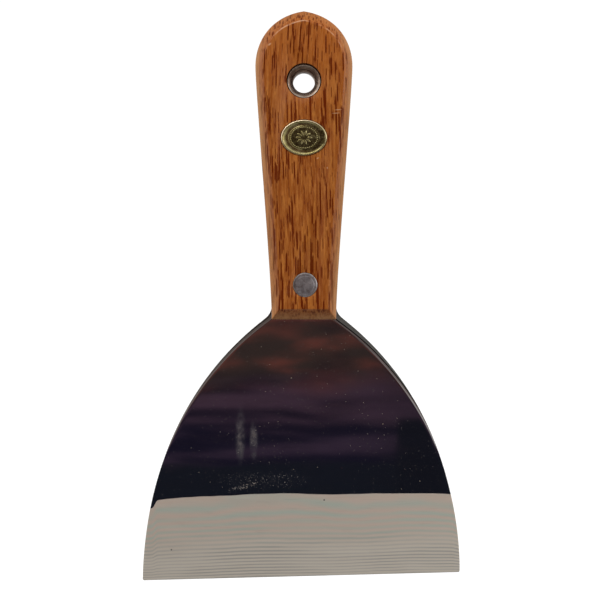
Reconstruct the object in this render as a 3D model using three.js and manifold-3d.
// A broad joint knife: a taper-ground spring-steel blade whose full-width tang is
// sandwiched between two chamfered oak scales, held by a hollow hanging eyelet near
// the butt and a two-piece flush rivet near the neck, with an oval brass badge let
// into the front scale.
// Millimetres, +Z up towards the butt, front face towards -Y. The origin is the
// centre of the hanging hole, in the middle of the tang's thickness.
import * as THREE from "three";
import { mergeVertices } from "three/addons/utils/BufferGeometryUtils.js";
import Module from "manifold-3d";

const wasm = await Module();
wasm.setup();

// ---- Driving dimensions ----------------------------------------------------

// Handle, which the tang follows
const HANDLE_LENGTH = 98.3; // apex of the butt to the front end
const HANDLE_WIDTH = 31; // at the widest level
const NECK_WIDTH = 20.6; // at the front end
const HOLE_FROM_BUTT = 22.6; // apex of the butt to the hanging hole's centre
const WIDEST_FROM_BUTT = 17.6; // apex of the butt to the widest level
const BUTT_SIDE_PULL = 0.46; // how long the butt's curve stays upright
const BUTT_TOP_PULL = 0.68; // how far the butt's curve stays near its apex
const BUTT_POINT_SLOPE = 0.15; // fall of the outline on each side of the apex
const TAPER_TOP_PULL = 8; // length of the upright start of the handle's taper
const TAPER_END_PULL = 14; // length of the upright end of the handle's taper
const SCALE_THICKNESS = 7; // one wooden side of the handle
const CHAMFER_DEPTH = 2.8; // chamfers, measured through the thickness
const SIDE_CHAMFER = 2.5; // long sides, measured in plan
const BUTT_CHAMFER = 3.3; // round the butt, in plan
const END_CHAMFER = 3.2; // across the front end, in plan

// Blade
const TANG_THICKNESS = 1.6;
const BLADE_WIDTH = 101.6; // along the working edge
const BLADE_REACH = 82.3; // front end of the handle to the working edge
const EDGE_THICKNESS = 0.7; // the squared working edge
const SHOULDER_RISE = 1.9; // where the flanks would meet the tang, above the handle's end
const SHOULDER_ANGLE_DEG = 54; // of the flanks there, away from the handle's line
const SHOULDER_PULL = 46; // how far a flank keeps that direction
const SHOULDER_SETBACK = 2.8; // length of the hollow fillet, each way from its corner
const EDGE_PULL = 14.3; // how long a flank stays upright above the working edge
const CORNER_RADIUS = 0.6; // ends of the working edge
const EDGE_SKEW_DEG = 1.5; // the edge is ground a little out of square
const BLADE_LEAN_DEG = 0.6; // the blade hangs a little to the left of the handle's line
const FLANK_BEVEL_LEFT = 1.5; // polished facet beside each flank, in plan at the neck
const FLANK_BEVEL_RIGHT = 2.5;
const FLANK_BEVEL_DEPTH = 0.24; // through the thickness, at the neck

// Hanging eyelet: the front half is a flanged socket, the rear half a flanged barrel
const EYELET_BORE = 7; // the clear hole
const EYELET_WALL = 0.4; // of each tube
const EYELET_NEST = 0.1; // gap between the two tubes
const FLANGE_OVERHANG = 0.85; // flange beyond the socket
const FLANGE_SEAT = 1; // depth of the flange's recess in the wood
const FLANGE_SINK = 0.15; // lip of the flange below the wood
const FLANGE_SLACK = 0.45; // recess round the flange
const MOUTH_DEPTH = 1.7; // length of the bell mouth
const SOCKET_LENGTH = 8.5;
const BARREL_SETBACK = 2.5; // end of the barrel below the front face
const TUBE_SLACK = 0.15; // drilled hole round the socket

// Flush rivet near the neck: a headed post in a headed sleeve
const RIVET_FROM_END = 11; // above the handle's front end
const RIVET_OFFSET = 0.4; // drilled a little to the right of the centre line
const RIVET_HEAD = 7.7; // diameter
const RIVET_HEAD_THICKNESS = 1.1; // at the rim, and the depth of its counterbore
const RIVET_CROWN = 0.15; // rise of the head's middle
const SLEEVE_DIAMETER = 4.8;
const POST_DIAMETER = 3;
const POST_SLACK = 0.1; // post inside the sleeve
const RIVET_SLACK = 0.15; // wood and tang round the rivet
const SLEEVE_END_GAP = 0.4; // sleeve short of the post's head
const POST_END_GAP = 0.5; // post short of the bottom of the sleeve
const SLEEVE_FLOOR = 1.6; // solid bottom of the sleeve below the rear counterbore

// Badge
const BADGE_FROM_HOLE = 17.9; // below the hanging hole
const BADGE_WIDTH = 14.8;
const BADGE_HEIGHT = 11.5;
const BADGE_RECESS = 0.8; // let into the wood
const BADGE_PROUD = 0.4; // top of the rim above the wood
const BADGE_RIM = 0.75; // width of the raised rim
const BADGE_DISH = 0.2; // the field's lowest ring below the rim
const BADGE_SLACK = 0.12; // recess round the badge
const SPIKE_SPACING = 7; // two spikes behind the badge
const SPIKE_DIAMETER = 1.2;
const SPIKE_LENGTH = 3;
const SPIKE_SLACK = 0.2;

// Fineness
const ROUND_STEPS = 48;
const CURVE_STEPS = 16;
const FLANK_STEPS = 32;
const FILLET_STEPS = 6;
const OVERRUN = 5; // how far a cutter runs past what it cuts

// ---- Levels and faces worked out from the sizes -------------------------------

const BUTT_LEVEL = HOLE_FROM_BUTT;
const WIDEST_LEVEL = BUTT_LEVEL - WIDEST_FROM_BUTT;
const END_LEVEL = BUTT_LEVEL - HANDLE_LENGTH;
const EDGE_LEVEL = END_LEVEL - BLADE_REACH;
const RIVET_LEVEL = END_LEVEL + RIVET_FROM_END;
const TANG_FACE = TANG_THICKNESS / 2;
const WOOD_FACE = TANG_FACE + SCALE_THICKNESS;
const SOCKET_BORE_RADIUS = EYELET_BORE / 2 + EYELET_WALL + EYELET_NEST;
const SOCKET_RADIUS = SOCKET_BORE_RADIUS + EYELET_WALL;
const FLANGE_RADIUS = SOCKET_RADIUS + FLANGE_OVERHANG;
const LEAN = Math.tan(THREE.MathUtils.degToRad(BLADE_LEAN_DEG));
const SKEW = Math.tan(THREE.MathUtils.degToRad(EDGE_SKEW_DEG));

// ---- Helpers ---------------------------------------------------------------------

// A closed geometry as a solid that can be cut and joined.
function solid(geometry) {
  const bare = geometry.clone();
  bare.deleteAttribute("normal");
  bare.deleteAttribute("uv");
  const merged = mergeVertices(bare, 1e-4);
  const vertProperties = new Float32Array(merged.attributes.position.array);
  const triVerts = new Uint32Array(merged.index.array);
  return new wasm.Manifold(new wasm.Mesh({ numProp: 3, vertProperties, triVerts }));
}

// A solid back as a geometry.
function geometryOf(body) {
  const mesh = body.getMesh();
  const geometry = new THREE.BufferGeometry();
  geometry.setAttribute("position", new THREE.BufferAttribute(mesh.vertProperties, 3));
  geometry.setIndex(new THREE.BufferAttribute(mesh.triVerts, 1));
  const facets = geometry.toNonIndexed();
  facets.computeVertexNormals();
  return facets;
}

// A body through rings of equal point counts. Each ring is { y, points }, with its points
// (x, z) anticlockwise as seen from the front, and the rings run from front to back.
function loft(rings) {
  const positions = [];
  const index = [];
  const count = rings[0].points.length;
  for (const { y, points } of rings) {
    for (const point of points) positions.push(point.x, y, point.y);
  }
  for (let ring = 0; ring + 1 < rings.length; ring += 1) {
    for (let i = 0; i < count; i += 1) {
      const j = (i + 1) % count;
      const front = ring * count;
      const back = front + count;
      index.push(front + i, back + i, back + j);
      index.push(front + i, back + j, front + j);
    }
  }
  const last = (rings.length - 1) * count;
  for (const [a, b, c] of THREE.ShapeUtils.triangulateShape(rings[0].points, [])) {
    index.push(a, b, c);
  }
  for (const [a, b, c] of THREE.ShapeUtils.triangulateShape(rings.at(-1).points, [])) {
    index.push(last + a, last + c, last + b);
  }
  const geometry = new THREE.BufferGeometry();
  geometry.setAttribute("position", new THREE.Float32BufferAttribute(positions, 3));
  geometry.setIndex(index);
  return geometry;
}

// A flat plate of one outline between two faces.
function plate(points, front, back) {
  return loft([{ y: front, points }, { y: back, points }]);
}

// A body turned about the Y axis from a closed profile of [radius, y] pairs.
function turned(profile) {
  const points = profile.map(([radius, y]) => new THREE.Vector2(radius, y));
  if (THREE.ShapeUtils.area(points) < 0) points.reverse();
  const onAxis = points.findIndex((point) => point.x === 0);
  const isHollow = onAxis < 0;
  const ordered = isHollow ? [...points, points[0]] : axisFirst(points);
  return new THREE.LatheGeometry(ordered, ROUND_STEPS);
}

// The same profile, started at the axis point that its outer wall leaves from.
function axisFirst(points) {
  const count = points.length;
  const start = points.findIndex(
    (point, i) => point.x === 0 && points[(i + 1) % count].x > 0,
  );
  return points.map((_, i) => points[(start + i) % count]);
}

// A round cutter along the thickness, between two faces.
function drill(x, z, radius, front, back) {
  const geometry = new THREE.CylinderGeometry(radius, radius, back - front, ROUND_STEPS);
  return geometry.translate(x, (front + back) / 2, z);
}

// ---- Handle ----------------------------------------------------------------------

// The handle's outline, optionally drawn in at the sides, the butt and the front end.
function handleOutline(sideInset = 0, buttInset = 0, endInset = 0) {
  const apex = BUTT_LEVEL - buttInset;
  const wide = HANDLE_WIDTH / 2 - sideInset;
  const neck = NECK_WIDTH / 2 - sideInset;
  const end = END_LEVEL + endInset;
  const buttHeight = apex - WIDEST_LEVEL;
  const topPull = wide * BUTT_TOP_PULL;
  const taper = new THREE.CubicBezierCurve(
    new THREE.Vector2(neck, end),
    new THREE.Vector2(neck, end + TAPER_END_PULL),
    new THREE.Vector2(wide, WIDEST_LEVEL - TAPER_TOP_PULL),
    new THREE.Vector2(wide, WIDEST_LEVEL),
  );
  const butt = new THREE.CubicBezierCurve(
    new THREE.Vector2(wide, WIDEST_LEVEL),
    new THREE.Vector2(wide, WIDEST_LEVEL + buttHeight * BUTT_SIDE_PULL),
    new THREE.Vector2(topPull, apex - topPull * BUTT_POINT_SLOPE),
    new THREE.Vector2(0, apex),
  );
  const right = [...taper.getPoints(CURVE_STEPS), ...butt.getPoints(CURVE_STEPS).slice(1)];
  const left = right.slice(0, -1).reverse();
  return [...right, ...left.map((point) => new THREE.Vector2(-point.x, point.y))];
}

// One wooden side of the handle, chamfered all round its outer face.
function scaleBlank() {
  const full = handleOutline();
  const drawnIn = handleOutline(SIDE_CHAMFER, BUTT_CHAMFER, END_CHAMFER);
  return solid(
    loft([
      { y: -WOOD_FACE, points: drawnIn },
      { y: CHAMFER_DEPTH - WOOD_FACE, points: full },
      { y: -TANG_FACE, points: full },
    ]),
  );
}

// The drilled holes and seats that both scales share, as cut from the front face.
function fixingCuts() {
  const front = -WOOD_FACE - OVERRUN;
  const tube = drill(0, 0, SOCKET_RADIUS + TUBE_SLACK, front, OVERRUN);
  const flangeSeat = drill(0, 0, FLANGE_RADIUS + FLANGE_SLACK, front, FLANGE_SEAT - WOOD_FACE);
  const shank = drill(
    RIVET_OFFSET, RIVET_LEVEL, SLEEVE_DIAMETER / 2 + RIVET_SLACK, front, OVERRUN,
  );
  const headSeat = drill(
    RIVET_OFFSET, RIVET_LEVEL, RIVET_HEAD / 2 + RIVET_SLACK, front,
    RIVET_HEAD_THICKNESS - WOOD_FACE,
  );
  return [tube, flangeSeat, shank, headSeat].map(solid).reduce((a, b) => a.add(b));
}

// The badge's recess and the two blind holes for its spikes.
function badgeCuts() {
  const floor = BADGE_RECESS - WOOD_FACE;
  const recess = drill(0, 0, BADGE_WIDTH / 2 + BADGE_SLACK, -WOOD_FACE - OVERRUN, floor);
  recess.scale(1, 1, (BADGE_HEIGHT / 2 + BADGE_SLACK) / (BADGE_WIDTH / 2 + BADGE_SLACK));
  recess.translate(0, 0, -BADGE_FROM_HOLE);
  const cuts = [solid(recess)];
  for (const side of [-1, 1]) {
    const radius = SPIKE_DIAMETER / 2 + SPIKE_SLACK;
    const bottom = floor + SPIKE_LENGTH + SPIKE_SLACK;
    cuts.push(
      solid(drill((side * SPIKE_SPACING) / 2, -BADGE_FROM_HOLE, radius, -WOOD_FACE, bottom)),
    );
  }
  return cuts.reduce((a, b) => a.add(b));
}

function frontScale() {
  return geometryOf(scaleBlank().subtract(fixingCuts()).subtract(badgeCuts()));
}

// The same piece facing the other way, so its holes still line up from the front.
function rearScale() {
  return geometryOf(scaleBlank().subtract(fixingCuts()).mirror([0, 1, 0]));
}

// ---- Blade -----------------------------------------------------------------------

// How far the blade's centre line has moved to the left at a level below the handle.
function leanAt(level) {
  return Math.min(0, level - END_LEVEL) * LEAN;
}

// The right flank from below the edge up to the tang: one long curve, upright at the
// working edge, then the shoulder's hollow fillet.
function flank() {
  const half = BLADE_WIDTH / 2;
  const angle = THREE.MathUtils.degToRad(SHOULDER_ANGLE_DEG);
  const corner = new THREE.Vector2(NECK_WIDTH / 2, END_LEVEL + SHOULDER_RISE);
  const sweep = new THREE.CubicBezierCurve(
    new THREE.Vector2(half, EDGE_LEVEL),
    new THREE.Vector2(half, EDGE_LEVEL + EDGE_PULL),
    new THREE.Vector2(
      corner.x + SHOULDER_PULL * Math.sin(angle),
      corner.y - SHOULDER_PULL * Math.cos(angle),
    ),
    corner,
  );
  const filletFrom = 1 - SHOULDER_SETBACK / (3 * SHOULDER_PULL);
  const points = [new THREE.Vector2(half, EDGE_LEVEL - OVERRUN)];
  for (let step = 0; step < FLANK_STEPS; step += 1) {
    points.push(sweep.getPoint((filletFrom * step) / FLANK_STEPS));
  }
  const fillet = new THREE.QuadraticBezierCurve(
    sweep.getPoint(filletFrom),
    corner,
    new THREE.Vector2(corner.x, corner.y + SHOULDER_SETBACK),
  );
  return [...points, ...fillet.getPoints(FILLET_STEPS)];
}

// The blade's plan, past the working edge below and up into the handle above, drawn in
// by its own amount on each side.
function bladePlan(leftInset = 0, rightInset = 0) {
  const right = flank();
  right.push(new THREE.Vector2(NECK_WIDTH / 2, right.at(-1).y + OVERRUN));
  const left = right.map((point) => new THREE.Vector2(-point.x, point.y)).reverse();
  const outline = [...right, ...left].map(
    (point) => new THREE.Vector2(point.x + leanAt(point.y), point.y),
  );
  const count = outline.length;
  return outline.map((point, i) => {
    const before = outline[(i + count - 1) % count];
    const after = outline[(i + 1) % count];
    const along = after.clone().sub(before).normalize();
    const inset = point.x > 0 ? rightInset : leftInset;
    return new THREE.Vector2(point.x - along.y * inset, point.y + along.x * inset);
  });
}

// The blade below the tang, with the facet beside each flank on both faces.
function facetedBlade() {
  const full = bladePlan();
  const drawnIn = bladePlan(FLANK_BEVEL_LEFT, FLANK_BEVEL_RIGHT);
  const shallow = TANG_FACE - FLANK_BEVEL_DEPTH;
  return solid(
    loft([
      { y: -TANG_FACE, points: drawnIn },
      { y: -shallow, points: full },
      { y: shallow, points: full },
      { y: TANG_FACE, points: drawnIn },
    ]),
  );
}

// The taper grind: parallel in the handle, then thinning evenly to the working edge.
function taperGrind() {
  const fall = (TANG_FACE - EDGE_THICKNESS / 2) / BLADE_REACH;
  const thin = EDGE_THICKNESS / 2 - fall * OVERRUN;
  const low = EDGE_LEVEL - OVERRUN;
  const high = BUTT_LEVEL + OVERRUN;
  const section = new THREE.Shape([
    new THREE.Vector2(-thin, low),
    new THREE.Vector2(thin, low),
    new THREE.Vector2(TANG_FACE, END_LEVEL),
    new THREE.Vector2(TANG_FACE, high),
    new THREE.Vector2(-TANG_FACE, high),
    new THREE.Vector2(-TANG_FACE, END_LEVEL),
  ]);
  const depth = BLADE_WIDTH + 4 * OVERRUN;
  const geometry = new THREE.ExtrudeGeometry(section, { depth, bevelEnabled: false });
  geometry.translate(0, 0, -depth / 2);
  geometry.rotateX(Math.PI / 2);
  return solid(geometry.rotateZ(Math.PI / 2));
}

// What is ground away below the skewed working edge, with its rounded corners.
function edgeGrind() {
  const half = BLADE_WIDTH / 2;
  const middle = leanAt(EDGE_LEVEL);
  const edgeAt = (x) => EDGE_LEVEL + SKEW * (x - middle);
  const left = middle - half;
  const right = middle + half;
  const shape = new THREE.Shape();
  shape.moveTo(left - OVERRUN, edgeAt(left) + CORNER_RADIUS);
  shape.lineTo(left - OVERRUN, EDGE_LEVEL - 2 * OVERRUN);
  shape.lineTo(right + OVERRUN, EDGE_LEVEL - 2 * OVERRUN);
  shape.lineTo(right + OVERRUN, edgeAt(right) + CORNER_RADIUS);
  shape.lineTo(right, edgeAt(right) + CORNER_RADIUS);
  shape.quadraticCurveTo(right, edgeAt(right), right - CORNER_RADIUS, edgeAt(right - CORNER_RADIUS));
  shape.lineTo(left + CORNER_RADIUS, edgeAt(left + CORNER_RADIUS));
  shape.quadraticCurveTo(left, edgeAt(left), left, edgeAt(left) + CORNER_RADIUS);
  shape.closePath();
  const outline = shape.getPoints(FILLET_STEPS).slice(0, -1);
  return solid(plate(outline, -TANG_FACE - OVERRUN, TANG_FACE + OVERRUN));
}

// The whole steel piece, drilled for the eyelet and the rivet.
function blade() {
  const tang = solid(plate(handleOutline(), -TANG_FACE, TANG_FACE));
  const ground = facetedBlade().intersect(taperGrind()).subtract(edgeGrind());
  const eyeletHole = solid(drill(0, 0, SOCKET_RADIUS + TUBE_SLACK, -OVERRUN, OVERRUN));
  const rivetHole = solid(
    drill(RIVET_OFFSET, RIVET_LEVEL, SLEEVE_DIAMETER / 2 + RIVET_SLACK, -OVERRUN, OVERRUN),
  );
  return geometryOf(tang.add(ground).subtract(eyeletHole).subtract(rivetHole));
}

// ---- Hanging eyelet --------------------------------------------------------------

// A flanged tube, seen as the front one: a rolled lip, a bell mouth and a plain tube.
function flangedTube(boreRadius, tubeRadius, length) {
  const lip = FLANGE_SINK - WOOD_FACE;
  const seat = FLANGE_SEAT - WOOD_FACE;
  const mouthEnd = FLANGE_SINK + MOUTH_DEPTH - WOOD_FACE;
  const end = length - WOOD_FACE;
  const crest = FLANGE_RADIUS - EYELET_WALL;
  const mouth = new THREE.QuadraticBezierCurve(
    new THREE.Vector2(crest, lip),
    new THREE.Vector2(boreRadius, lip + EYELET_WALL),
    new THREE.Vector2(boreRadius, mouthEnd),
  );
  return turned([
    [FLANGE_RADIUS, lip + EYELET_WALL / 2],
    ...mouth.getPoints(FILLET_STEPS).map((point) => [point.x, point.y]),
    [boreRadius, end],
    [tubeRadius, end],
    [tubeRadius, seat],
    [FLANGE_RADIUS, seat],
  ]);
}

function eyeletFront() {
  return flangedTube(SOCKET_BORE_RADIUS, SOCKET_RADIUS, SOCKET_LENGTH);
}

// The rear half comes in from the other side, and its barrel slides in the socket.
function eyeletRear() {
  const radius = EYELET_BORE / 2 + EYELET_WALL;
  const length = 2 * WOOD_FACE - BARREL_SETBACK;
  return flangedTube(EYELET_BORE / 2, radius, length).rotateX(Math.PI);
}

// ---- Neck rivet --------------------------------------------------------------------

// The crowned head's outer surface, from the middle to the rim, as [radius, y] pairs.
function headCrown() {
  const crown = new THREE.QuadraticBezierCurve(
    new THREE.Vector2(0, -WOOD_FACE - RIVET_CROWN),
    new THREE.Vector2(RIVET_HEAD / 4, -WOOD_FACE - RIVET_CROWN),
    new THREE.Vector2(RIVET_HEAD / 2, -WOOD_FACE),
  );
  return crown.getPoints(FILLET_STEPS).map((point) => [point.x, point.y]);
}

const HEAD_SEAT = RIVET_HEAD_THICKNESS - WOOD_FACE;
const SLEEVE_BOTTOM = -HEAD_SEAT - SLEEVE_FLOOR;

function rivetPost() {
  const end = SLEEVE_BOTTOM - POST_END_GAP;
  const geometry = turned([
    ...headCrown(),
    [RIVET_HEAD / 2, HEAD_SEAT],
    [POST_DIAMETER / 2, HEAD_SEAT],
    [POST_DIAMETER / 2, end],
    [0, end],
  ]);
  return geometry.translate(RIVET_OFFSET, 0, RIVET_LEVEL);
}

// Drawn facing the front and then turned to the rear.
function rivetSleeve() {
  const bore = POST_DIAMETER / 2 + POST_SLACK;
  const end = -HEAD_SEAT - SLEEVE_END_GAP;
  const geometry = turned([
    ...headCrown(),
    [RIVET_HEAD / 2, HEAD_SEAT],
    [SLEEVE_DIAMETER / 2, HEAD_SEAT],
    [SLEEVE_DIAMETER / 2, end],
    [bore, end],
    [bore, -SLEEVE_BOTTOM],
    [0, -SLEEVE_BOTTOM],
  ]);
  return geometry.rotateX(Math.PI).translate(RIVET_OFFSET, 0, RIVET_LEVEL);
}

// ---- Badge -------------------------------------------------------------------------

// The pressed oval: a raised rim round a field that domes up to the rim's height.
function badgeOval() {
  const radius = BADGE_WIDTH / 2;
  const rimTop = -WOOD_FACE - BADGE_PROUD;
  const field = radius - BADGE_RIM;
  const dome = new THREE.QuadraticBezierCurve(
    new THREE.Vector2(0, rimTop),
    new THREE.Vector2(field / 2, rimTop),
    new THREE.Vector2(field, rimTop + BADGE_DISH),
  );
  const profile = [
    ...dome.getPoints(FILLET_STEPS).map((point) => [point.x, point.y]),
    [field + BADGE_DISH, rimTop],
    [radius - BADGE_DISH, rimTop],
    [radius, rimTop + BADGE_DISH],
    [radius, BADGE_RECESS - WOOD_FACE],
    [0, BADGE_RECESS - WOOD_FACE],
  ];
  return turned(profile).scale(1, 1, BADGE_HEIGHT / BADGE_WIDTH);
}

// The oval with its two spikes, which are pressed into the wood.
function badge() {
  const back = BADGE_RECESS - WOOD_FACE;
  let body = solid(badgeOval());
  for (const side of [-1, 1]) {
    const spike = turned([
      [0, back - BADGE_RECESS],
      [SPIKE_DIAMETER / 2, back - BADGE_RECESS],
      [SPIKE_DIAMETER / 2, back],
      [0, back + SPIKE_LENGTH],
    ]);
    body = body.add(solid(spike.translate((side * SPIKE_SPACING) / 2, 0, 0)));
  }
  return geometryOf(body).translate(0, 0, -BADGE_FROM_HOLE);
}

// ---- Materials and assembly --------------------------------------------------------

const polishedSteel = new THREE.MeshStandardMaterial({
  color: 0xb4b6ba, metalness: 1, roughness: 0.12,
});
const frontOak = new THREE.MeshStandardMaterial({
  color: 0x8a4d24, metalness: 0, roughness: 0.42,
});
const rearOak = new THREE.MeshStandardMaterial({
  color: 0x84491f, metalness: 0, roughness: 0.42,
});
const rivetSteel = new THREE.MeshStandardMaterial({
  color: 0x7d7771, metalness: 1, roughness: 0.45,
});
const sleeveSteel = rivetSteel.clone();
const eyeletSteel = new THREE.MeshStandardMaterial({
  color: 0x6e6861, metalness: 1, roughness: 0.4,
});
const barrelSteel = eyeletSteel.clone();
const agedBrass = new THREE.MeshStandardMaterial({
  color: 0x8f8448, metalness: 1, roughness: 0.35,
});

function named(name, geometry, material) {
  const mesh = new THREE.Mesh(geometry, material);
  mesh.name = name;
  return mesh;
}

const knife = new THREE.Group();
knife.add(named("blade", blade(), polishedSteel));
knife.add(named("front_scale", frontScale(), frontOak));
knife.add(named("rear_scale", rearScale(), rearOak));
knife.add(named("eyelet_front", eyeletFront(), eyeletSteel));
knife.add(named("eyelet_rear", eyeletRear(), barrelSteel));
knife.add(named("neck_rivet_post", rivetPost(), rivetSteel));
knife.add(named("neck_rivet_sleeve", rivetSleeve(), sleeveSteel));
knife.add(named("badge", badge(), agedBrass));

export default knife;
